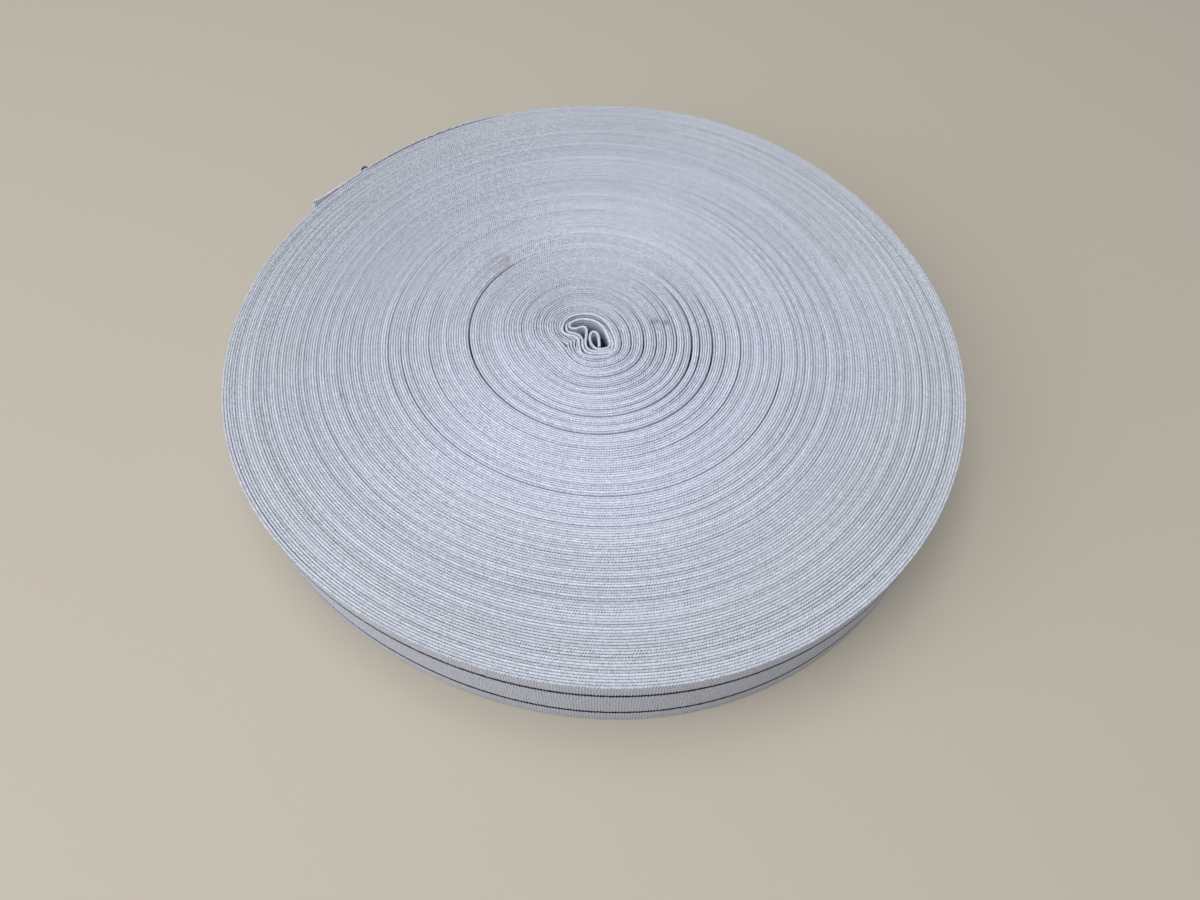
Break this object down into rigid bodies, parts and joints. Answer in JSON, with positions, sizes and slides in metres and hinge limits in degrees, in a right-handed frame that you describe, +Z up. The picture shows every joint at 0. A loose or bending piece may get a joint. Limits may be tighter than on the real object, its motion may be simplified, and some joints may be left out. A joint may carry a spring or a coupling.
{
  "type": "roll of elastic",
  "caption": "Flat coreless roll of striped woven elastic tape, with a crumpled eye and its loose end held at the rim by a ball-headed pin.",
  "frame": {"origin": "middle of the box seen from above, at the flat base", "axes": "+Z up out of the roll's flat top, +X to the right as seen from the front, +Y to the back"},
  "size_m": [0.3116, 0.314, 0.0404],
  "materials": {
    "elastic": "woven, matt, cool white with dark stripes",
    "pin_ball": "glossy dark blue",
    "pin_wire": "bright drawn wire"
  },
  "bodies": {
    "root": {"wound_roll": "elastic", "loose_end": "elastic", "pin_head": "pin_ball", "pin_shank": "pin_wire"}
  },
  "joints": []
}
